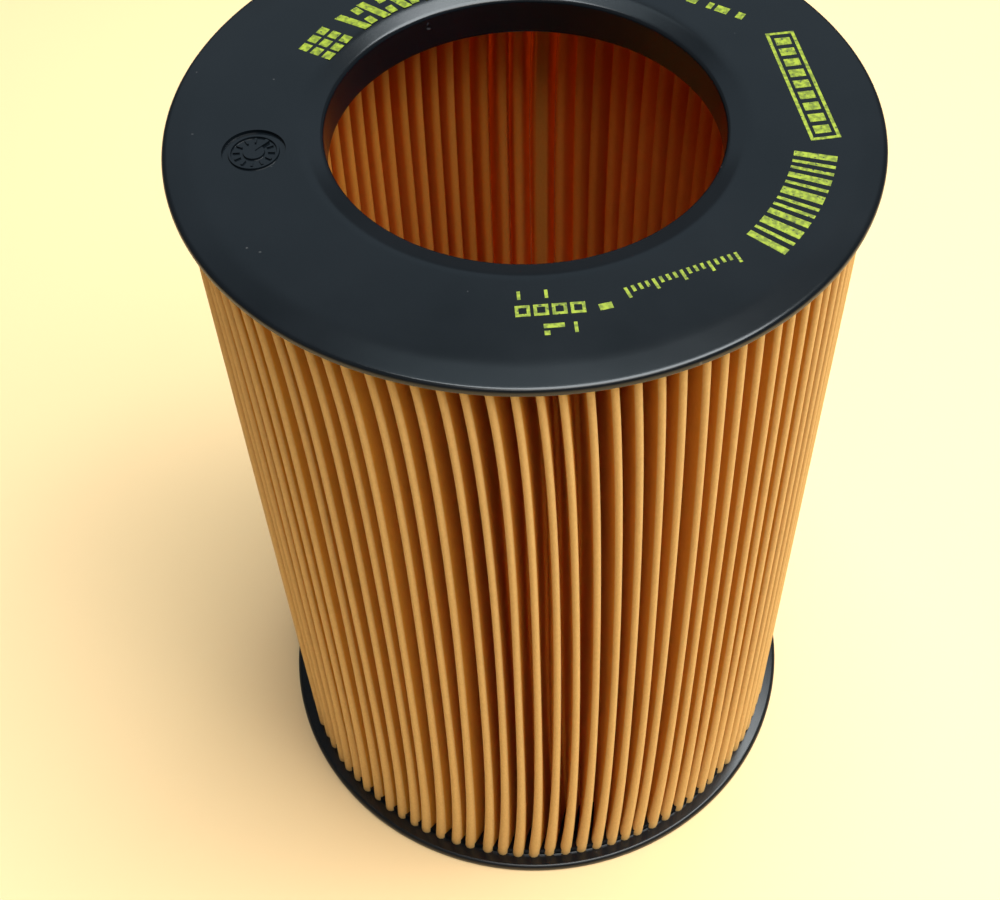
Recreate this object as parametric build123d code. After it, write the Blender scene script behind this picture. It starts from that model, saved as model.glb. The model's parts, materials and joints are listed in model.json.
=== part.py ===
from build123d import *
import math
import os

# A round air filter element: a ring of pleated paper between two moulded polyurethane end caps.
# The upper cap is open and seals on a duct through its bore. The lower cap is closed.
# Millimetres, +Z up. The origin is on the axis, at the face that the element stands on.

# Driving dimensions
element_height = 200.0
upper_flange_radius = 70.0
lower_flange_radius = 70.5
flange_thickness = 2.0
bore_radius = 39.3
lip_depth = 10.0
pleat_count = 95
crest_radius = 67.7
root_radius = 54.6
paper_thickness = 0.6
crest_bend_radius = 0.42
root_bend_radius = 0.8

# The pleats are set a little wider towards the seam, and most of all beside it
seam_angle = 86.6
pleat_spread_once = 0.08
pleat_spread_twice = 0.06
seam_gap_stretch = 1.3

# Edges of the caps: the upper face falls away gently to its rim, and more steeply into the bore
rim_slope_width = 6.0
rim_slope_drop = 0.25
rim_slope_round = 60.0
mouth_slope_width = 4.5
mouth_slope_drop = 1.4
mouth_slope_round = 8.0
bore_mouth_round = 1.0
bore_foot_round = 1.0
upper_rim_round = 0.8
lower_rim_round = 1.1
flange_bottom_round = 0.5

# Depth to which the paper stands in the polyurethane, and the ring that fills between the pleats
potting_depth = 2.5
potting_inner_radius = 53.0
potting_outer_radius = 66.7
lip_outer_radius = 50.0
lip_foot_radius = 48.0

# Closed floor of the lower cap
floor_top = 4.5
floor_recess_radius = 49.0
floor_recess_depth = 1.2
retaining_ring_inner_radius = 50.5
retaining_ring_top = 7.0
hub_radius = 11.0
hub_round = 0.5

# Moulded date dial, sunk in the top of the upper cap
dial_angle = 190.1
dial_distance = 52.6
dial_radius = 6.1
dial_depth = 0.6
dial_hub_radius = 2.0
dial_hub_height = 0.35
dial_pointer_length = 7.6
dial_pointer_width = 1.0

# Lapped seam of the paper
flap_half_width = 1.8
flap_end_gap = 0.5
flap_bend_radius = 0.42
glue_thickness = 0.3

paper_bottom = flange_thickness
paper_top = element_height - flange_thickness
paper_height = paper_top - paper_bottom


def polar(radius, degrees):
    """A point of the plane at a radius and an angle from +X."""
    angle = math.radians(degrees)
    return Vector(radius * math.cos(angle), radius * math.sin(angle), 0)


def seam_point(radial, along):
    """A point by the seam: its distance out from the axis, and how far it lies along the lap."""
    return polar(radial, seam_angle) + polar(along, seam_angle + 90)


def turned(points_and_rounds):
    """A solid of revolution from (radius, height, corner round) points of its half section."""
    corners = [(radius, height) for radius, height, _ in points_and_rounds]
    outline = Polyline(*[(radius, 0, height) for radius, height in corners], close=True)
    section = make_face(outline).face()
    for radius, height, corner_round in points_and_rounds:
        if corner_round:
            corner = section.vertices().sort_by_distance((radius, 0, height))[0]
            section = section.fillet_2d(corner_round, [corner])
    return revolve(section, Axis.Z)


def pleat_steps():
    """Angle that each pleat takes up, in order round the ring from the seam."""
    shares = []
    for number in range(pleat_count):
        turn = math.tau * (number + 0.5) / pleat_count
        share = 1 + pleat_spread_once * math.cos(turn) + pleat_spread_twice * math.cos(2 * turn)
        if number in (0, pleat_count - 1):
            share *= seam_gap_stretch
        shares.append(share)
    return [360 * share / sum(shares) for share in shares]


def fold_circles():
    """Bends of the sheet's middle line, in order from one lapped end to the other.

    Each is (centre, radius, side), where side is 1 for a bend that turns clockwise and -1 for the opposite.
    """
    outer_layer = paper_thickness + glue_thickness
    crest_centre = crest_radius - crest_bend_radius - paper_thickness / 2
    root_centre = root_radius + root_bend_radius + paper_thickness / 2
    flap_centre = root_radius + flap_bend_radius + paper_thickness / 2
    flap_bend_place = flap_half_width - flap_bend_radius - paper_thickness / 2
    first = seam_point(flap_centre + outer_layer, flap_bend_place)
    last = seam_point(flap_centre, -flap_bend_place)
    circles = [(first, flap_bend_radius, 1)]
    angle = seam_angle
    steps = pleat_steps()
    for step in steps[:-1]:
        circles.append((polar(crest_centre, angle + step / 2), crest_bend_radius, -1))
        angle += step
        circles.append((polar(root_centre, angle), root_bend_radius, 1))
    circles.append((polar(crest_centre, angle + steps[-1] / 2), crest_bend_radius, -1))
    circles.append((last, flap_bend_radius, 1))
    return circles


def straight_run(start, end):
    """Left normal of the sheet's flat panel between two bends, which touches both of them."""
    start_centre, start_radius, start_side = start
    end_centre, end_radius, end_side = end
    span = end_centre - start_centre
    across = start_side * start_radius - end_side * end_radius
    along = math.sqrt(span.length**2 - across**2)
    heading = math.atan2(span.Y, span.X) - math.atan2(across, along)
    return Vector(-math.sin(heading), math.cos(heading), 0)


def bend_arc(centre, side, radius, normal_in, normal_out):
    """Arc of one surface of the sheet round a bend."""
    start = math.atan2(side * normal_in.Y, side * normal_in.X)
    end = math.atan2(side * normal_out.Y, side * normal_out.X)
    sweep = (end - start) % (2 * math.pi)
    if side > 0:
        sweep -= 2 * math.pi
    angles = [start + share * sweep for share in (0, 0.5, 1)]
    points = [centre + Vector(math.cos(angle), math.sin(angle), 0) * radius for angle in angles]
    return ThreePointArc(*points)


def sheet_surface(circles, normals, offset):
    """Edges of one surface of the folded sheet, offset to the left of its middle line."""
    edges = []
    for (centre, radius, side), normal_in, normal_out in zip(circles, normals[:-1], normals[1:]):
        arc = bend_arc(centre, side, radius + side * offset, normal_in, normal_out)
        if edges:
            edges.append(Line(edges[-1] @ 1, arc @ 0))
        edges.append(arc)
    return edges


def pleated_section():
    """Cross-section of the whole folded sheet, open at the lapped seam."""
    circles = fold_circles()
    outward = polar(1, seam_angle)
    tangent = polar(1, seam_angle + 90)
    normals = [outward * -1]
    for start, end in zip(circles, circles[1:]):
        normals.append(straight_run(start, end))
    normals.append(outward * -1)
    half = paper_thickness / 2
    left = sheet_surface(circles, normals, half)
    right = sheet_surface(circles, normals, -half)
    flap_length = 2 * flap_half_width - paper_thickness - flap_end_gap
    start_left = (left[0] @ 0) - tangent * (flap_length - flap_bend_radius)
    start_right = start_left + outward * paper_thickness
    end_left = (left[-1] @ 1) + tangent * (flap_length - flap_bend_radius)
    end_right = end_left + outward * paper_thickness
    edges = [Line(start_left, left[0] @ 0), *left, Line(left[-1] @ 1, end_left)]
    edges += [Line(end_left, end_right), Line(end_right, right[-1] @ 1)]
    edges += [*reversed(right), Line(right[0] @ 0, start_right), Line(start_right, start_left)]
    return make_face(Wire(edges))


def make_pleated_paper_pack():
    return Pos(0, 0, paper_bottom) * extrude(pleated_section(), paper_height)


def make_seam_adhesive():
    """Film of glue between the two lapped ends of the sheet."""
    width = 2 * (flap_half_width - paper_thickness - flap_end_gap)
    middle = root_radius + paper_thickness + glue_thickness / 2
    film = Box(glue_thickness, width, paper_height)
    return Rot(0, 0, seam_angle) * Pos(middle, 0, element_height / 2) * film


def make_date_dial():
    """The sunk round mark in the top of the upper cap: a pocket around a hub and a pointer."""
    pocket = Cylinder(dial_radius, dial_depth, align=(Align.CENTER, Align.CENTER, Align.MAX))
    floor = Pos(0, 0, -dial_depth)
    upright = (Align.CENTER, Align.CENTER, Align.MIN)
    hub = floor * Cylinder(dial_hub_radius, dial_hub_height, align=upright)
    pointer = floor * Box(dial_pointer_length, dial_pointer_width, dial_hub_height, align=upright)
    place = Rot(0, 0, dial_angle) * Pos(dial_distance, 0, element_height)
    return place * (pocket - hub - pointer)


def make_upper_end_cap(paper, glue):
    """Ring with a thin flange, a thick sealing lip and the potting that holds the paper."""
    potting_bottom = paper_top - potting_depth
    lip_bottom = element_height - lip_depth
    section = [
        (bore_radius, element_height - mouth_slope_drop, bore_mouth_round),
        (bore_radius + mouth_slope_width, element_height, mouth_slope_round),
        (upper_flange_radius - rim_slope_width, element_height, rim_slope_round),
        (upper_flange_radius, element_height - rim_slope_drop, upper_rim_round),
        (upper_flange_radius, paper_top, flange_bottom_round),
        (potting_outer_radius, paper_top, 0),
        (potting_outer_radius, potting_bottom, 0),
        (potting_inner_radius, potting_bottom, 0),
        (lip_outer_radius, potting_bottom, 0),
        (lip_foot_radius, lip_bottom, bore_foot_round),
        (bore_radius, lip_bottom, bore_foot_round),
    ]
    return turned(section) - make_date_dial() - paper - glue


def make_lower_end_cap(paper, glue):
    """Closed disc with a thin flange, the potting and a ring that stands inside the pleats."""
    potting_top = paper_bottom + potting_depth
    section = [
        (0, 0, 0),
        (hub_radius, 0, hub_round),
        (hub_radius, floor_recess_depth, 0),
        (floor_recess_radius, floor_recess_depth, 0),
        (floor_recess_radius, 0, hub_round),
        (lower_flange_radius, 0, flange_bottom_round),
        (lower_flange_radius, flange_thickness, lower_rim_round),
        (potting_outer_radius, flange_thickness, 0),
        (potting_outer_radius, potting_top, 0),
        (potting_inner_radius, potting_top, 0),
        (potting_inner_radius, retaining_ring_top, hub_round),
        (retaining_ring_inner_radius, retaining_ring_top, hub_round),
        (retaining_ring_inner_radius, floor_top, hub_round),
        (0, floor_top, 0),
    ]
    return turned(section) - paper - glue


def main():
    os.makedirs("parts", exist_ok=True)
    paper = make_pleated_paper_pack()
    glue = make_seam_adhesive()
    pieces = {
        "pleated_paper_pack": paper,
        "seam_adhesive": glue,
        "upper_end_cap": make_upper_end_cap(paper, glue),
        "lower_end_cap": make_lower_end_cap(paper, glue),
    }
    for name, piece in pieces.items():
        export_step(piece, f"parts/{name}.step")


main()
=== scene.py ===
import json
import math

import bpy
import numpy as np
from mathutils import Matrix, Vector


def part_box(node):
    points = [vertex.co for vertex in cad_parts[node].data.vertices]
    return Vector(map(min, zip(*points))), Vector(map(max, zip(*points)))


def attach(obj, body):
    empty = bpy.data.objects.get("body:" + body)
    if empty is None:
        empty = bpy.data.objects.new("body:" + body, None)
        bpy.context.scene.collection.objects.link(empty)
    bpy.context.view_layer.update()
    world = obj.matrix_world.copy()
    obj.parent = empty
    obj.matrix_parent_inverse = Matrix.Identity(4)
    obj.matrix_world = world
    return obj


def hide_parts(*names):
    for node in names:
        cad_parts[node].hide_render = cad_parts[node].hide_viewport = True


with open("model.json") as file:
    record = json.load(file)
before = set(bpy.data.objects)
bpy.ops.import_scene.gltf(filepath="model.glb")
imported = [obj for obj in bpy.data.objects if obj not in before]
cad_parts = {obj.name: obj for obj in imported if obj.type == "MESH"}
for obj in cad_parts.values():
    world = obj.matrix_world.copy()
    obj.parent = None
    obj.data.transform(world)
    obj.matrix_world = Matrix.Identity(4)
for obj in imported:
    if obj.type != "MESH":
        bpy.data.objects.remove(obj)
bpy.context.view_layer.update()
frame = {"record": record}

# Millimetres in metres: the sizes of the element are written as a number times this
mm = 0.001

# Sizes that the frame gives
upper_low, upper_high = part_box("upper_end_cap")
_, lower_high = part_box("lower_end_cap")
paper_low, paper_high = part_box("pleated_paper_pack")
mounts = {mount["name"]: mount for mount in frame["record"]["mounts"]}
bore_radius = mounts["outlet_seal_bore"]["dims"]["r_mm"] * mm
element_top = upper_high.z
upper_radius = upper_high.x
lower_radius = lower_high.x
crest_radius = paper_high.x
paper_bottom, paper_top = paper_low.z, paper_high.z

# The camera: its place in radii of the upper cap, and how it looks from there
camera_back = 3.184
camera_above = 2.6179
look_down = 49.42
look_right = 1.65
lens_length = 52.56
shift_across = -0.0585
shift_up = -0.0791

# Colours of light
cool_white = (0.92, 0.98, 1.0)
warm_white = (1.0, 0.98, 0.94)
window_blue = (0.70, 0.90, 1.0)
sky_blue = (0.62, 0.84, 1.0)
room_white = (0.98, 0.98, 1.0, 1.0)
room_strength = 0.12

# The folded sheet
pleat_count = 95
root_radius = 54.6 * mm
paper_thickness = 0.6 * mm
fold_bend_radius = 0.42 * mm
root_bend_radius = 0.8 * mm
wide_crest_radius = 1.25 * mm
wide_crest_reach = 0.2
seam_angle = 86.6
pleat_spread_once = 0.08
pleat_spread_twice = 0.06
seam_gap_stretch = 1.3
flap_half_width = 1.8 * mm
flap_overlap = 1.0 * mm
glue_thickness = 0.3 * mm
glue_margin = 0.1 * mm

# How the real folds stray from even ones: degrees round the axis, and metres
fold_angle_jitter = 0.2
fold_radius_jitter = 0.12 * mm
fold_wave = 0.16
panel_bulge = 0.22 * mm
bow_at_top = -3.2
bow_at_bottom = -2.2
bow_reach_short = 0.12
bow_reach_long = 0.42
bow_long_side = -30.0
bow_narrowing = 4
bow_reach_at_bottom = 0.16
root_bow_at_top = -2.4
root_bow_at_bottom = 2.0
wave_cycles = (1.0, 1.7, 2.6)

# How finely the sheet is built, with its levels closer together near the two caps
paper_levels = 30
level_crowding = 0.07
root_steps = 5
crest_steps = 6

# The caps
print_face_drop = 0.06 * mm
potting_depth = 2.5 * mm
potting_swell = 0.4 * mm
potting_inner_radius = 53.0 * mm
potting_outer_radius = 66.7 * mm
lip_outer_radius = 50.0 * mm
lip_foot_radius = 48.0 * mm
rim_slope_width = 6.0 * mm
rim_slope_drop = 0.25 * mm
mouth_slope_width = 4.5 * mm
mouth_slope_drop = 1.4 * mm
rim_slope_round = 60.0 * mm
mouth_slope_round = 8.0 * mm
bore_mouth_round = 1.0 * mm
bore_foot_round = 1.0 * mm
upper_rim_round = 0.8 * mm
lower_rim_round = 1.0 * mm
flange_bottom_round = 0.5 * mm
foam_round = 0.3 * mm
floor_top = 4.5 * mm
floor_recess_radius = 49.0 * mm
floor_recess_depth = 1.2 * mm
retaining_ring_inner_radius = 50.5 * mm
hub_radius = 11.0 * mm
hub_slope = 0.4 * mm
hub_round = 0.5 * mm
hub_foot_round = 0.4 * mm
ring_round = 0.7 * mm
ring_foot_round = 0.9 * mm

# The date dial and the print
dial_angle = 190.1
dial_distance = 52.6 * mm
dial_radius = 6.1 * mm
dial_depth = 0.6 * mm
dial_hub_radius = 2.0 * mm
dial_shallow_depth = 0.25 * mm
dial_slope = 0.12 * mm
dial_ring_inner_radius = 4.4 * mm
dial_ring_outer_radius = 4.8 * mm
dial_mark_reach = 4.0 * mm
dial_tick_inner_radius = 2.7 * mm
dial_tick_half_width = 3.0
dial_pointer_inner_radius = 0.4 * mm
dial_pointer_sides = (48.0, 60.0)
ink_depth = 0.02 * mm
ink_height = 0.03 * mm

around_steps = 288
round_steps = 8
random = np.random.default_rng(813)


# Camera and light

def add_camera():
    """The photographer looks down at the element from the front, with the far rim cut by the frame."""
    camera = bpy.data.objects.new("camera", bpy.data.cameras.new("camera"))
    bpy.context.scene.collection.objects.link(camera)
    camera.data.lens = lens_length
    camera.data.shift_x = shift_across
    camera.data.shift_y = shift_up
    camera.data.clip_start = 0.01
    camera.location = (0.0, -camera_back * upper_radius, element_top + camera_above * upper_radius)
    camera.rotation_euler = (math.radians(90.0 - look_down), 0.0, math.radians(-look_right))
    bpy.context.scene.camera = camera


def add_area_light(name, place, width, height, power, colour, in_reflections=True):
    """A soft lamp that points at the middle of the element."""
    light = bpy.data.lights.new(name, "AREA")
    light.shape = "RECTANGLE"
    light.size, light.size_y = width, height
    light.energy, light.color = power, colour
    lamp = bpy.data.objects.new(name, light)
    bpy.context.scene.collection.objects.link(lamp)
    lamp.visible_glossy = in_reflections
    lamp.location = place
    middle = Vector((0.0, 0.0, element_top / 2))
    lamp.rotation_euler = (middle - Vector(place)).to_track_quat("-Z", "Y").to_euler()


def from_angles(azimuth, height, distance):
    """A place seen from the middle of the element, by its compass angle from +X and its height angle."""
    across, up = math.radians(azimuth), math.radians(height)
    flat = distance * math.cos(up)
    return (flat * math.cos(across), flat * math.sin(across), element_top / 2 + distance * math.sin(up))


def add_light():
    """A large lamp above, warm ones in front and at the side, and bluish ones behind that the cap reflects.

    After each place come the lamp's width and height in metres and its power in watts.
    """
    add_area_light("overhead", from_angles(28, 79, 1.15), 0.75, 0.75, 16.5, cool_white)
    add_area_light("front", from_angles(-70, 66, 1.4), 0.9, 0.5, 6.2, warm_white)
    add_area_light("side", from_angles(-18, 50, 1.2), 0.9, 0.9, 13.5, warm_white, in_reflections=False)
    add_area_light("back", from_angles(90, 42, 1.3), 0.95, 0.45, 0.5, sky_blue)
    add_area_light("window", from_angles(83, 66, 1.3), 0.6, 0.35, 0.75, window_blue)
    world = bpy.data.worlds.new("room")
    bpy.context.scene.world = world
    world.use_nodes = True
    background = world.node_tree.nodes["Background"]
    background.inputs["Color"].default_value = room_white
    background.inputs["Strength"].default_value = room_strength
    bpy.context.scene.view_settings.view_transform = "Standard"


# Materials

class Shader:
    """Short names for the nodes of one material."""

    def __init__(self, name):
        self.material = bpy.data.materials.new(name)
        self.material.use_nodes = True
        self.nodes = self.material.node_tree.nodes
        self.links = self.material.node_tree.links
        self.principled = self.nodes["Principled BSDF"]
        self.output = self.nodes["Material Output"]

    def node(self, kind, settings=(), **inputs):
        made = self.nodes.new(kind)
        for key, value in dict(settings).items():
            setattr(made, key, value)
        for key, value in inputs.items():
            self.feed(made.inputs[key], value)
        return made

    def feed(self, socket, value):
        if isinstance(value, bpy.types.NodeSocket):
            self.links.new(value, socket)
        else:
            socket.default_value = value

    def place(self, stretch=(1.0, 1.0, 1.0)):
        """Object coordinates in metres, stretched."""
        coordinates = self.node("ShaderNodeTexCoord")
        mapping = self.node("ShaderNodeMapping", Vector=coordinates.outputs["Object"])
        mapping.inputs["Scale"].default_value = stretch
        return mapping.outputs["Vector"]

    def noise(self, scale, detail=2.0, stretch=(1.0, 1.0, 1.0), roughness=0.5):
        made = self.node("ShaderNodeTexNoise", Vector=self.place(stretch))
        made.inputs["Scale"].default_value = scale
        made.inputs["Detail"].default_value = detail
        made.inputs["Roughness"].default_value = roughness
        return made.outputs["Fac"]

    def ramp(self, value, low, high, to_low=0.0, to_high=1.0):
        made = self.node("ShaderNodeMapRange", Value=value)
        for key, number in {"From Min": low, "From Max": high, "To Min": to_low, "To Max": to_high}.items():
            self.feed(made.inputs[key], number)
        return made.outputs["Result"]

    def mix(self, factor, first, second):
        made = self.node("ShaderNodeMix", settings={"data_type": "RGBA"})
        self.feed(made.inputs["Factor"], factor)
        self.feed(made.inputs["A"], first)
        self.feed(made.inputs["B"], second)
        return next(output for output in made.outputs if output.type == "RGBA")

    def math(self, operation, first, second):
        made = self.node("ShaderNodeMath", settings={"operation": operation})
        self.feed(made.inputs[0], first)
        self.feed(made.inputs[1], second)
        return made.outputs["Value"]

    def bump(self, height, distance, strength=1.0, under=None):
        made = self.node("ShaderNodeBump", Height=height)
        made.inputs["Distance"].default_value = distance
        made.inputs["Strength"].default_value = strength
        if under is not None:
            self.links.new(under, made.inputs["Normal"])
        return made.outputs["Normal"]


def linear(red, green, blue):
    """An sRGB colour of 0 to 255 as a linear one for a shader."""
    shares = [channel / 255 for channel in (red, green, blue)]
    values = [share / 12.92 if share <= 0.04045 else ((share + 0.055) / 1.055) ** 2.4 for share in shares]
    return (*values, 1.0)


def filter_paper_material():
    """Resin-treated filter paper: tan, dull and fibrous, and a little translucent, with a painted highlight
    that makes its crests paler and painted light that makes it paler towards its roots.
    """
    shader = Shader("filter_paper")
    tone = shader.node("ShaderNodeAttribute", settings={"attribute_name": "tone"}).outputs["Fac"]
    fold = shader.node("ShaderNodeAttribute", settings={"attribute_name": "fold"}).outputs["Fac"]
    depth = shader.node("ShaderNodeAttribute", settings={"attribute_name": "depth"}).outputs["Fac"]
    patches = shader.noise(45.0, 3.0, stretch=(1.0, 1.0, 0.35))
    fibres = shader.noise(2600.0, 3.0, stretch=(1.0, 1.0, 0.3), roughness=0.65)
    # Painted light: the colour for the roots is paler and yellower than the colour for the crests, for the
    # light that falls into the bore.
    outer = shader.mix(shader.ramp(patches, 0.3, 0.7), linear(214, 164, 58), linear(226, 176, 68))
    inner = shader.mix(shader.ramp(patches, 0.3, 0.7), linear(228, 182, 78), linear(238, 192, 88))
    panel = shader.mix(shader.ramp(depth, 0.0, 0.7), outer, inner)
    toned = shader.mix(shader.ramp(tone, 0.0, 1.0, 0.0, 0.35), panel, linear(196, 142, 44))
    # Painted highlight: the crests are mixed towards a pale tan, for the light that they catch.
    crest = shader.math("MULTIPLY", shader.ramp(fold, 0.9, 0.99), shader.ramp(depth, 0.3, 0.05))
    painted_crest_highlight = shader.mix(shader.math("MULTIPLY", crest, 0.8), toned, linear(226, 192, 132))
    speckled = shader.mix(shader.ramp(fibres, 0.35, 0.75, 0.0, 0.25), painted_crest_highlight, linear(168, 122, 52))
    principled = shader.principled
    shader.feed(principled.inputs["Base Color"], speckled)
    shader.feed(principled.inputs["Roughness"], shader.ramp(fibres, 0.2, 0.8, 0.72, 0.92))
    principled.inputs["Specular IOR Level"].default_value = 0.3
    relief = shader.math("ADD", fibres, shader.noise(700.0, 2.0))
    normal = shader.bump(relief, 0.05 * mm, 0.5)
    shader.feed(principled.inputs["Normal"], normal)
    through = shader.node("ShaderNodeBsdfTranslucent", Normal=normal)
    through.inputs["Color"].default_value = (1.0, 0.38, 0.04, 1.0)
    both = shader.node("ShaderNodeMixShader")
    thin = shader.ramp(depth, 0.0, 0.8, 0.44, 0.52)
    shader.feed(both.inputs["Fac"], shader.math("SUBTRACT", thin, shader.math("MULTIPLY", crest, 0.32)))
    shader.links.new(principled.outputs["BSDF"], both.inputs[1])
    shader.links.new(through.outputs["BSDF"], both.inputs[2])
    shader.links.new(both.outputs["Shader"], shader.output.inputs["Surface"])
    return shader.material


def polyurethane_material():
    """Moulded polyurethane: satin and nearly black with a blue cast, specked with dust, duller at the rim."""
    shader = Shader("polyurethane")
    grain = shader.noise(1500.0, 4.0, roughness=0.6)
    cloud = shader.noise(38.0, 3.0)
    dust = shader.noise(430.0, 1.0)
    darker, paler = (0.0022, 0.0036, 0.0050, 1.0), (0.0034, 0.0050, 0.0068, 1.0)
    skin = shader.mix(shader.ramp(cloud, 0.3, 0.7), darker, paler)
    dusty = shader.mix(shader.ramp(dust, 0.79, 0.83, 0.0, 0.5), skin, (0.12, 0.12, 0.12, 1.0))
    principled = shader.principled
    shader.feed(principled.inputs["Base Color"], dusty)
    radius = shader.node("ShaderNodeVectorMath", settings={"operation": "LENGTH"})
    shader.feed(radius.inputs[0], shader.place((1.0, 1.0, 0.0)))
    rim = shader.ramp(radius.outputs["Value"], upper_radius - 0.5 * mm, upper_radius, 0.0, 0.2)
    rough = shader.math("ADD", shader.ramp(cloud, 0.3, 0.7, 0.16, 0.20), rim)
    shader.feed(principled.inputs["Roughness"], rough)
    principled.inputs["Specular IOR Level"].default_value = 0.45
    wide = shader.bump(shader.noise(60.0, 2.0), 0.25 * mm, 0.2)
    shader.feed(principled.inputs["Normal"], shader.bump(grain, 0.02 * mm, 0.15, under=wide))
    return shader.material


def ink_material():
    """Yellow-green marking ink, uneven and broken where it has taken badly."""
    shader = Shader("marking_ink")
    blotch = shader.noise(900.0, 3.0)
    colour = shader.mix(shader.ramp(blotch, 0.40, 0.60), linear(92, 106, 20), linear(134, 150, 34))
    gaps = shader.ramp(shader.noise(1500.0, 2.0), 0.62, 0.68)
    shader.feed(shader.principled.inputs["Base Color"], shader.mix(gaps, colour, linear(30, 36, 32)))
    shader.principled.inputs["Roughness"].default_value = 0.6
    return shader.material


def glue_material():
    """Set hot-melt glue: pale amber."""
    shader = Shader("seam_glue")
    clouding = shader.noise(300.0, 2.0)
    colour = shader.mix(clouding, linear(190, 150, 90), linear(214, 180, 120))
    shader.feed(shader.principled.inputs["Base Color"], colour)
    shader.principled.inputs["Roughness"].default_value = 0.35
    return shader.material


def floor_material():
    """Pale warm floor, plain and dull."""
    shader = Shader("pale_floor")
    shader.principled.inputs["Base Color"].default_value = (0.91, 0.66, 0.35, 1.0)
    shader.principled.inputs["Roughness"].default_value = 0.7
    return shader.material


# Mesh helpers

def mesh_object(name, points, faces, material, sharp_above=40.0):
    """An object from points and faces, smooth except along edges sharper than the given angle."""
    mesh = bpy.data.meshes.new(name)
    plain_points = [tuple(map(float, point)) for point in points]
    plain_faces = [tuple(map(int, face)) for face in faces]
    mesh.from_pydata(plain_points, [], plain_faces)
    mesh.update()
    made = bpy.data.objects.new(name, mesh)
    bpy.context.scene.collection.objects.link(made)
    mesh.shade_smooth()
    mesh.set_sharp_from_angle(angle=math.radians(sharp_above))
    mesh.materials.append(material)
    return made


def rounded_outline(corners):
    """Points of a closed outline from (radius, height, corner round) corners."""
    points = []
    for number, (radius, height, corner_round) in enumerate(corners):
        corner = np.array([radius, height])
        if not corner_round:
            points.append(corner)
            continue
        before = np.array(corners[number - 1][:2]) - corner
        after = np.array(corners[(number + 1) % len(corners)][:2]) - corner
        before, after = before / np.linalg.norm(before), after / np.linalg.norm(after)
        half = math.acos(np.clip(before @ after, -1, 1)) / 2
        middle = (before + after) / np.linalg.norm(before + after)
        centre = corner + middle * corner_round / math.sin(half)
        start = corner + before * corner_round / math.tan(half) - centre
        end = corner + after * corner_round / math.tan(half) - centre
        turn = math.atan2(start[0] * end[1] - start[1] * end[0], start @ end)
        for share in np.linspace(0, 1, round_steps + 1):
            cosine, sine = math.cos(turn * share), math.sin(turn * share)
            points.append(centre + (cosine * start[0] - sine * start[1], sine * start[0] + cosine * start[1]))
    return points


def supported(outline, reach=0.4 * mm):
    """The outline with extra points near both ends of its long runs, so that they are shaded flat."""
    points = []
    for here, there in zip(outline, [*outline[1:], outline[0]]):
        here, there = np.array(here), np.array(there)
        points.append(here)
        length = np.linalg.norm(there - here)
        if length > 4 * reach:
            step = (there - here) * reach / length
            points += [here + step, there - step]
    return points


def lathe(outline, on_axis=False):
    """Points and faces of an outline turned round the axis, on which its first and last points may lie."""
    body = outline[1:-1] if on_axis else outline
    angles = np.linspace(0, 2 * math.pi, around_steps, endpoint=False)
    points, faces = [], []
    for angle in angles:
        points += [(r * math.cos(angle), r * math.sin(angle), z) for r, z in body]
    size = len(body)
    for step in range(around_steps):
        here, there = step * size, (step + 1) % around_steps * size
        for i in range(size if not on_axis else size - 1):
            j = (i + 1) % size
            faces.append((here + i, there + i, there + j, here + j))
    if on_axis:
        first, last = len(points), len(points) + 1
        points += [(0, 0, outline[0][1]), (0, 0, outline[-1][1])]
        for step in range(around_steps):
            here, there = step * size, (step + 1) % around_steps * size
            faces.append((first, there, here))
            faces.append((last, here + size - 1, there + size - 1))
    return np.array(points), faces


def boolean(target, tool, operation):
    """Changes target by tool, and removes tool."""
    modifier = target.modifiers.new(operation, "BOOLEAN")
    modifier.object, modifier.operation, modifier.solver = tool, operation, "EXACT"
    depsgraph = bpy.context.evaluated_depsgraph_get()
    made = bpy.data.meshes.new_from_object(target.evaluated_get(depsgraph))
    target.modifiers.clear()
    target.data = made
    bpy.data.objects.remove(tool)


def arc_slab(low_radius, high_radius, start, end, low, high, steps=None):
    """Points and faces of a closed slab that covers part of a ring, between two angles in degrees."""
    steps = steps or max(1, round(abs(end - start) / 2.0))
    section = ((low_radius, low), (high_radius, low), (high_radius, high), (low_radius, high))
    points, faces = [], []
    for angle in np.radians(np.linspace(start, end, steps + 1)):
        cosine, sine = math.cos(angle), math.sin(angle)
        for radius, height in section:
            points.append((radius * cosine, radius * sine, height))
    for step in range(steps):
        for i in range(4):
            j = (i + 1) % 4
            faces.append((4 * step + i, 4 * step + j, 4 * step + 4 + j, 4 * step + 4 + i))
    faces.append((3, 2, 1, 0))
    faces.append((4 * steps, 4 * steps + 1, 4 * steps + 2, 4 * steps + 3))
    return points, faces


def joined(shapes):
    """One list of points and faces from several."""
    points, faces = [], []
    for some_points, some_faces in shapes:
        offset = len(points)
        points += list(some_points)
        faces += [tuple(corner + offset for corner in face) for face in some_faces]
    return points, faces


# The folded paper

def bow(height_share, angles, at_top, at_bottom):
    """How far the folds stand aside from the middle of their height, in degrees: most near the two caps.

    Near the upper cap the lean reaches further down on one side of the ring. Rows are heights and columns
    are angles.
    """
    toward_long_side = (0.5 + 0.5 * np.cos(np.radians(angles - bow_long_side))) ** bow_narrowing
    reach = bow_reach_short * (bow_reach_long / bow_reach_short) ** toward_long_side
    near_top = at_top * np.exp(-(1 - height_share[:, None]) / reach)
    return near_top + at_bottom * np.exp(-height_share[:, None] / bow_reach_at_bottom)


def root_bow(height_share, angles):
    return bow(height_share, angles, root_bow_at_top, root_bow_at_bottom)


def waves(height_share, count):
    """A slow random wave along each of several folds, one column for each fold."""
    total = np.zeros((len(height_share), count))
    for cycles in wave_cycles:
        size = random.normal(0, 1, count) / cycles
        phase = random.uniform(0, 2 * math.pi, count)
        total += size * np.sin(math.pi * cycles * height_share[:, None] + phase)
    return total


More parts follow.
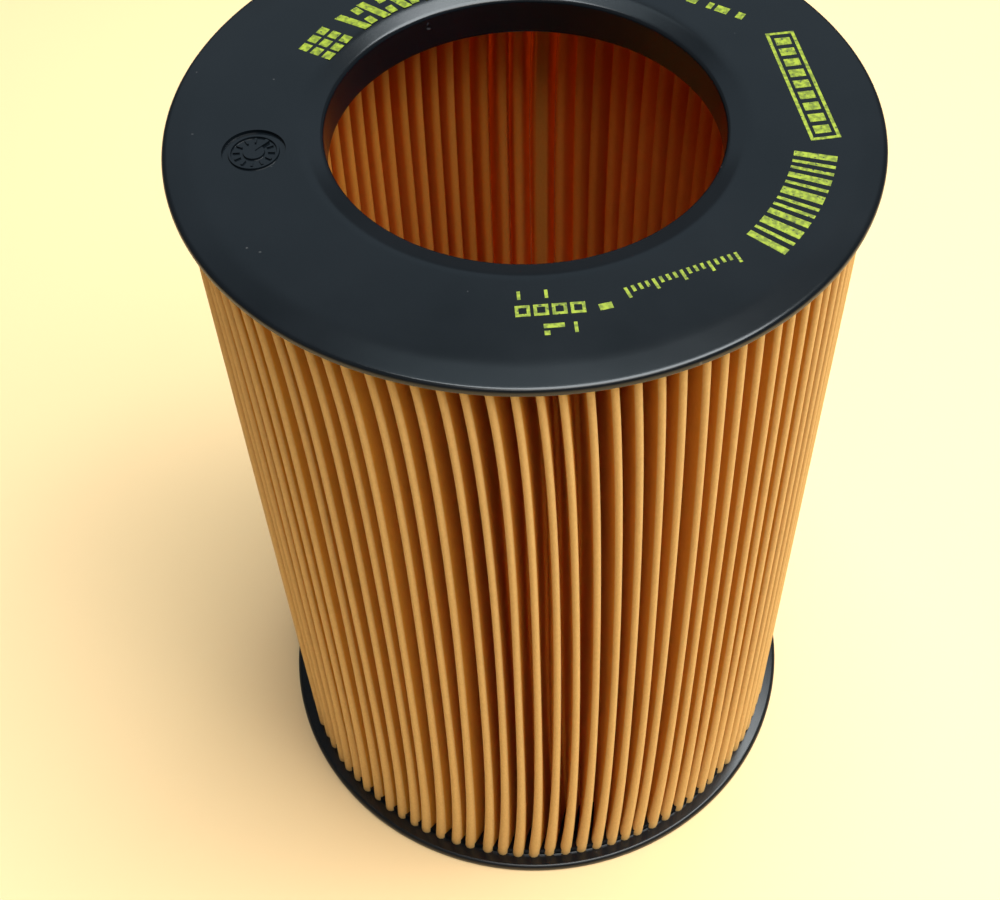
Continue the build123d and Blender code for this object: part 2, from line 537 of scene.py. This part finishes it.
def seam_frame(height_share):
    """Outward and sideways unit vectors at the seam, for each height."""
    angle = np.radians(seam_angle + root_bow(height_share, np.array([seam_angle]))[:, 0])
    outward = np.stack([np.cos(angle), np.sin(angle)], -1)
    return outward, np.stack([-outward[:, 1], outward[:, 0]], -1)


def bend_radii(height_share):
    """Radius of every bend at each height. Roots are blunt, and crests grow blunt towards the lower cap."""
    radii = np.full((len(height_share), 2 * pleat_count + 1), fold_bend_radius)
    blunter = (wide_crest_radius - fold_bend_radius) * np.exp(-height_share / wide_crest_reach)
    radii[:, 1::2] += blunter[:, None]
    radii[:, 2:-1:2] = root_bend_radius
    return radii


def pleat_steps():
    """Angle that each pleat takes up, in order round the ring from the seam: the same as in the solids."""
    turn = math.tau * (np.arange(pleat_count) + 0.5) / pleat_count
    shares = 1 + pleat_spread_once * np.cos(turn) + pleat_spread_twice * np.cos(2 * turn)
    shares[[0, -1]] *= seam_gap_stretch
    return 360.0 * shares / shares.sum()


def fold_centres(height_share, radii):
    """Centres of the bends at each height, and the side to which each bend turns."""
    levels = len(height_share)
    steps = pleat_steps()
    root_angles = seam_angle + np.cumsum(steps)[:-1]
    crest_angles = seam_angle + np.cumsum(steps) - steps / 2
    reach = fold_bend_radius + paper_thickness / 2

    def ring(angles, radius, shift):
        count = len(angles)
        spread = angles + random.normal(0, fold_angle_jitter, count) + fold_wave * waves(height_share, count)
        angle = np.radians(spread + shift)
        distance = radius + fold_radius_jitter * np.clip(random.normal(0, 1, count), -2, 2)
        return np.stack([distance * np.cos(angle), distance * np.sin(angle)], -1)

    crest_bow = bow(height_share, crest_angles, bow_at_top, bow_at_bottom)
    crest_reach = radii[:, 1::2] + paper_thickness / 2
    crests = ring(crest_angles, crest_radius - crest_reach - 2 * fold_radius_jitter, crest_bow)
    root_reach = root_bend_radius + paper_thickness / 2
    roots = ring(root_angles, root_radius + root_reach, root_bow(height_share, root_angles))
    outward, sideways = seam_frame(height_share)
    flap_bend_place = flap_half_width - reach
    outer_layer = paper_thickness + glue_thickness
    start = outward * (root_radius + reach + outer_layer) + sideways * flap_bend_place
    end = outward * (root_radius + reach) - sideways * flap_bend_place
    centres = np.zeros((levels, 2 * pleat_count + 1, 2))
    centres[:, 0], centres[:, -1] = start, end
    centres[:, 1::2] = crests
    centres[:, 2:-1:2] = roots
    sides = np.ones(2 * pleat_count + 1)
    sides[1::2] = -1
    return centres, sides


def panel_normals(centres, sides, radii, outward):
    """Left normals of the flat panels between the bends, with the two lapped flaps first and last."""
    span = centres[:, 1:] - centres[:, :-1]
    across = sides[:-1] * radii[:, :-1] - sides[1:] * radii[:, 1:]
    along = np.sqrt((span**2).sum(-1) - across**2)
    heading = np.arctan2(span[..., 1], span[..., 0]) - np.arctan2(across, along)
    normals = np.stack([-np.sin(heading), np.cos(heading)], -1)
    return np.concatenate([-outward[:, None], normals, -outward[:, None]], 1)


def sheet_surfaces(height_share):
    """Points of the sheet's two surfaces at each height, and values for each point round the section.

    The values are fold (1 on a bend), tone (random, for each fold) and depth (0 at a crest, 1 at a root).
    """
    radii = bend_radii(height_share)
    centres, sides = fold_centres(height_share, radii)
    outward, sideways = seam_frame(height_share)
    normals = panel_normals(centres, sides, radii, outward)
    half = paper_thickness / 2
    bulges = panel_bulge * waves(height_share, len(sides) - 1)
    tones = random.uniform(0, 1, len(sides))
    left, right, fold, tone, depth = [], [], [], [], []

    def add(left_points, right_points, fold_value, tone_value, depth_value):
        left.append(left_points)
        right.append(right_points)
        fold.append(fold_value)
        tone.append(tone_value)
        depth.append(depth_value)

    for i, side in enumerate(sides):
        start = np.arctan2(side * normals[:, i, 1], side * normals[:, i, 0])
        end = np.arctan2(side * normals[:, i + 1, 1], side * normals[:, i + 1, 0])
        sweep = (end - start) % (2 * math.pi)
        if side > 0:
            sweep -= 2 * math.pi
        steps = root_steps if side > 0 else crest_steps
        for share in np.linspace(0, 1, steps + 1):
            angle = start + share * sweep
            direction = np.stack([np.cos(angle), np.sin(angle)], -1)
            on_left = centres[:, i] + (radii[:, i, None] + side * half) * direction
            on_right = centres[:, i] + (radii[:, i, None] - side * half) * direction
            add(on_left, on_right, 1.0, tones[i], float(side > 0))
        if i + 1 == len(sides):
            break
        next_start = sides[i + 1] * normals[:, i + 1]
        left_end, right_end = left[-1], right[-1]
        left_next = centres[:, i + 1] + (radii[:, i + 1, None] + sides[i + 1] * half) * next_start
        right_next = centres[:, i + 1] + (radii[:, i + 1, None] - sides[i + 1] * half) * next_start
        for share in (1 / 3, 2 / 3):
            rest = 1 - share
            push = bulges[:, i, None] * math.sin(math.pi * share) * normals[:, i + 1]
            on_left = left_end * rest + left_next * share + push
            on_right = right_end * rest + right_next * share + push
            tone_here = tones[i] * rest + tones[i + 1] * share
            depth_here = (side > 0) * rest + (sides[i + 1] > 0) * share
            add(on_left, on_right, 0.0, tone_here, depth_here)
    flap = (flap_overlap + flap_half_width - fold_bend_radius - half) * sideways
    left = [left[0] - flap, *left, left[-1] + flap]
    right = [right[0] - flap, *right, right[-1] + flap]
    values = {"fold": [1.0, *fold, 1.0], "tone": [tone[0], *tone, tone[-1]], "depth": [1.0, *depth, 1.0]}
    return np.stack(left, 1), np.stack(right, 1), values


def make_paper():
    """The whole pleated pack: one closed sheet, folded and lapped at the seam."""
    levels = paper_levels
    even = np.linspace(0, 1, levels)
    height_share = even - level_crowding * np.sin(2 * math.pi * even)
    heights = paper_bottom + (paper_top - paper_bottom) * height_share
    left, right, values = sheet_surfaces(height_share)
    section = np.concatenate([left, right[:, ::-1]], 1)
    size = section.shape[1]
    points = np.concatenate(
        [np.column_stack([section[level], np.full(size, heights[level])]) for level in range(levels)]
    )
    faces = []
    for level in range(levels - 1):
        here, above = level * size, (level + 1) * size
        for i in range(size):
            j = (i + 1) % size
            faces.append((here + i, here + j, above + j, above + i))
    top = (levels - 1) * size
    for i in range(size // 2 - 1):
        mirror = size - 1 - i
        faces.append((i + 1, i, mirror, mirror - 1))
        faces.append((top + i, top + i + 1, top + mirror - 1, top + mirror))
    made = mesh_object("paper_pleats", points, faces, filter_paper_material(), sharp_above=50.0)
    for name, along_sheet in values.items():
        attribute = made.data.attributes.new(name, "FLOAT", "POINT")
        around = np.concatenate([along_sheet, along_sheet[::-1]])
        attribute.data.foreach_set("value", np.tile(around, levels).astype(np.float32))
    return made


def make_glue():
    """The film of glue in the lapped seam, which follows the bow of the folds."""
    height_share = np.linspace(0, 1, paper_levels)
    outward, sideways = seam_frame(height_share)
    inner = root_radius + paper_thickness
    outer = inner + glue_thickness
    width = flap_overlap - glue_margin
    points, faces = [], []
    for share, out, aside in zip(height_share, outward, sideways):
        height = paper_bottom + (paper_top - paper_bottom) * share
        for radial, along in ((inner, -width), (outer, -width), (outer, width), (inner, width)):
            x, y = out * radial + aside * along
            points.append((x, y, height))
    for level in range(len(height_share) - 1):
        for i in range(4):
            j = (i + 1) % 4
            here = 4 * level
            faces.append((here + j, here + i, here + 4 + i, here + 4 + j))
    last = len(points) - 4
    faces += [(0, 1, 2, 3), (last + 3, last + 2, last + 1, last)]
    return mesh_object("seam_glue_film", points, faces, glue_material())


# The end caps

def uneven_potting(points, level):
    """Lets the foam between the pleats rise and fall a little, as it did when it set."""
    margin = 0.1 * mm
    radius = np.hypot(points[:, 0], points[:, 1])
    between = (radius > potting_inner_radius - mm) & (radius < potting_outer_radius + margin)
    near = between & (abs(points[:, 2] - level) < margin)
    angle = np.arctan2(points[:, 1], points[:, 0])
    swell = sum(np.sin(cycles * angle + cycles) / 3 for cycles in (7, 16, 31))
    points[near, 2] += potting_swell * swell[near]


def dial_place():
    angle = math.radians(dial_angle)
    return dial_distance * math.cos(angle), dial_distance * math.sin(angle), element_top - print_face_drop


def dial_pocket(material):
    """What the date dial takes out of the cap: a round pocket, less a hub and a thin ring standing in it."""
    deep, shallow, slope = -dial_depth, -dial_shallow_depth, dial_slope
    ring_in, ring_out = dial_ring_inner_radius, dial_ring_outer_radius
    outline = [
        (0, shallow), (dial_hub_radius, shallow), (dial_hub_radius + slope, deep),
        (ring_in - slope, deep), (ring_in, shallow), (ring_out, shallow), (ring_out + slope, deep),
        (dial_radius - slope, deep), (dial_radius, 0), (dial_radius, mm), (0, mm),
    ]
    pocket = mesh_object("dial_pocket", *lathe(outline, on_axis=True), material)
    pocket.location = dial_place()
    bpy.context.view_layer.update()
    return pocket


def dial_marks():
    """Twelve ticks round the dial and a pointer on its hub, all sunk below the face of the cap."""
    low = -dial_depth - 0.1 * mm
    tick_top, pointer_top = -0.3 * mm, -0.1 * mm
    inner, outer = dial_tick_inner_radius, dial_mark_reach
    marks = []
    for angle in range(0, 360, 30):
        start, end = angle - dial_tick_half_width, angle + dial_tick_half_width
        marks.append(arc_slab(inner, outer, start, end, low, tick_top))
    marks.append(arc_slab(dial_pointer_inner_radius, outer, *dial_pointer_sides, low, pointer_top))
    points, faces = joined(marks)
    return np.array(points) + dial_place(), faces


def make_upper_cap(material):
    """Ring with a thin flange, a soft sealing lip and the foam that holds the paper."""
    potting_bottom = paper_top - potting_depth
    face = element_top - print_face_drop
    outline = rounded_outline([
        (bore_radius, face - mouth_slope_drop, bore_mouth_round),
        (bore_radius + mouth_slope_width, face, mouth_slope_round),
        (upper_radius - rim_slope_width, face, rim_slope_round),
        (upper_radius, face - rim_slope_drop, upper_rim_round),
        (upper_radius, paper_top, flange_bottom_round),
        (potting_outer_radius, paper_top, foam_round),
        (potting_outer_radius, potting_bottom, 0),
        (potting_inner_radius, potting_bottom, 0),
        (lip_outer_radius, potting_bottom, 0),
        (lip_foot_radius, upper_low.z, bore_foot_round),
        (bore_radius, upper_low.z, bore_foot_round),
    ])
    points, faces = lathe(supported(outline)[::-1])
    uneven_potting(points, potting_bottom)
    cap = mesh_object("turned_cap", points, faces, material)
    boolean(cap, dial_pocket(material), "DIFFERENCE")
    points = [corner.co for corner in cap.data.vertices]
    faces = [tuple(face.vertices) for face in cap.data.polygons]
    bpy.data.objects.remove(cap)
    whole = joined([(points, faces), dial_marks()])
    return mesh_object("upper_cap_moulding", *whole, material, sharp_above=32.0)


def make_lower_cap(material):
    """Closed disc with a thin flange, the foam that holds the paper and a ring inside the pleats."""
    potting_top = paper_bottom + potting_depth
    ring_top = lower_high.z
    outline = rounded_outline([
        (0, 0, 0),
        (hub_radius, 0, hub_round),
        (hub_radius + hub_slope, floor_recess_depth, hub_foot_round),
        (floor_recess_radius, floor_recess_depth, hub_round),
        (floor_recess_radius + hub_slope, 0, hub_round),
        (lower_radius, 0, flange_bottom_round),
        (lower_radius, paper_bottom, lower_rim_round),
        (potting_outer_radius, paper_bottom, foam_round),
        (potting_outer_radius, potting_top, 0),
        (potting_inner_radius, potting_top, 0),
        (potting_inner_radius, ring_top, ring_round),
        (retaining_ring_inner_radius, ring_top, ring_round),
        (retaining_ring_inner_radius, floor_top, ring_foot_round),
        (0, floor_top, 0),
    ])
    points, faces = lathe(outline, on_axis=True)
    uneven_potting(points, potting_top)
    return mesh_object("lower_cap_moulding", points, faces, material)


# Generic print on the upper cap: stripes, squares, ticks and dashes

def prism(outline):
    """A thin closed film of ink over a flat outline."""
    face = element_top - print_face_drop
    size = len(outline)
    points = [(x, y, face - ink_depth) for x, y in outline]
    points += [(x, y, face + ink_height) for x, y in outline]
    faces = [tuple(range(size))[::-1], tuple(range(size, 2 * size))]
    faces += [(i, (i + 1) % size, size + (i + 1) % size, size + i) for i in range(size)]
    return points, faces


def in_row(row, along, out):
    """A point by a straight row: along it (anticlockwise) and outward from it, in millimetres."""
    angle, distance = math.radians(row[0]), row[1] + out
    x = distance * math.cos(angle) - along * math.sin(angle)
    y = distance * math.sin(angle) + along * math.cos(angle)
    return x * mm, y * mm


def block(row, along, out, width, height, slant=0.0):
    """A four-sided mark that starts at (along, out) of a row."""
    top = out + height
    corners = ((along, out), (along + width, out), (along + width + slant, top), (along + slant, top))
    return prism([in_row(row, *corner) for corner in corners])


def frame_marks(row, along, out, width, height, line):
    """Four strokes round an empty middle."""
    return [
        block(row, along, out, width, line),
        block(row, along, out + height - line, width, line),
        block(row, along, out + line, line, height - 2 * line),
        block(row, along + width - line, out + line, line, height - 2 * line),
    ]


def stripes_on_arc(widths, gap, start_angle, low_radius, high_radius):
    """Upright bars of several widths side by side round an arc, clockwise from the start."""
    shapes, angle = [], start_angle
    face = element_top - print_face_drop
    per_mm = math.degrees(2 / (low_radius + high_radius))
    for width in widths:
        turn = width * per_mm
        low, high = face - ink_depth, face + ink_height
        shapes.append(arc_slab(low_radius * mm, high_radius * mm, angle - turn, angle, low, high, steps=2))
        angle -= turn + gap * per_mm
    return shapes


def make_print():
    shapes = []
    # nine small squares
    row = (150.1, 43.2)
    for number in range(9):
        shapes.append(block(row, -4.6 + 3.1 * (number // 3), 2.8 * (number % 3), 2.3, 2.0))
    # bold slanted stripes between pairs of squares, cut by the far edge of the view
    for number in range(7):
        row = (138.6 - 7.0 * number, 43.2)
        shapes.append(block(row, -1.4, 0.0, 1.9, 7.4, slant=1.6))
        if number < 6:
            row = (135.2 - 7.0 * number, 43.2)
            shapes.append(block(row, -0.8, 0.3, 1.7, 2.4))
            shapes.append(block(row, -0.8, 4.6, 1.7, 2.4))
    # a straight row of dashes at the far right
    row = (58.0, 48.8)
    widths = (1.6, 2.8, 1.2, 2.2, 1.6, 3.0, 1.2, 1.8, 2.6, 1.2, 2.0, 1.6, 2.8)
    for number, width in enumerate(widths):
        shapes.append(block(row, -23.0 + 3.6 * number, 0.0, width, 2.2))
    # a long frame round a row of squares
    row = (8.1, 52.6)
    shapes += frame_marks(row, -17.0, 0.0, 34.0, 6.0, 0.7)
    for number in range(9):
        shapes.append(block(row, -15.2 + 3.5 * number, 1.4, 2.3, 3.2))
    # tall bars of several widths
    widths = (1.5, 0.8, 0.8, 1.5, 0.8, 2.0, 0.8, 0.8, 1.5, 2.0, 0.8, 1.5)
    shapes += stripes_on_arc(widths, 1.15, -13.5, 52.3, 60.5)
    # a scale of small ticks, and a dash after it
    row = (-68.0, 50.0)
    for number in range(17):
        height = 2.6 if number % 4 == 0 else 1.5
        shapes.append(block(row, 19.0 - 1.35 * number, 0.0, 0.6, height))
    shapes.append(block((-75.6, 52.4), -1.3, 0.0, 2.4, 1.5))
    # a small group: a row of open squares with a few short marks round it
    row = (-86.0, 50.8)
    for number in range(4):
        shapes += frame_marks(row, -6.2 + 3.2 * number, 0.0, 2.6, 2.6, 0.6)
    shapes.append(block(row, -1.6, 4.6, 3.6, 1.0))
    shapes.append(block(row, -1.6, 6.2, 1.0, 1.0))
    shapes.append(block(row, 3.6, 4.6, 0.6, 2.4))
    shapes.append(block(row, -0.8, -3.4, 0.6, 2.0))
    shapes.append(block(row, -5.6, -3.4, 0.6, 2.0))
    return mesh_object("printed_marks", *joined(shapes), ink_material())


# The stage

def make_floor():
    """A plain floor, a hair below the face that the element stands on."""
    half_width = 6.0
    level = -0.0001
    sides = ((-1, -1), (1, -1), (1, 1), (-1, 1))
    corners = [(x * half_width, y * half_width, level) for x, y in sides]
    floor = mesh_object("floor", corners, [(0, 1, 2, 3)], floor_material())


def build():
    add_camera()
    add_light()
    make_floor()
    moulding = polyurethane_material()
    pieces = (
        (make_paper(), "pleated_paper_pack", "filter_paper"),
        (make_glue(), "seam_adhesive", "seam_glue"),
        (make_upper_cap(moulding), "upper_end_cap", "end_cap_polyurethane"),
        (make_lower_cap(moulding), "lower_end_cap", "end_cap_polyurethane"),
    )
    for piece, node, slot in pieces:
        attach(piece, "root")
        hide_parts(node)
    marks = make_print()
    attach(marks, "root")


build()
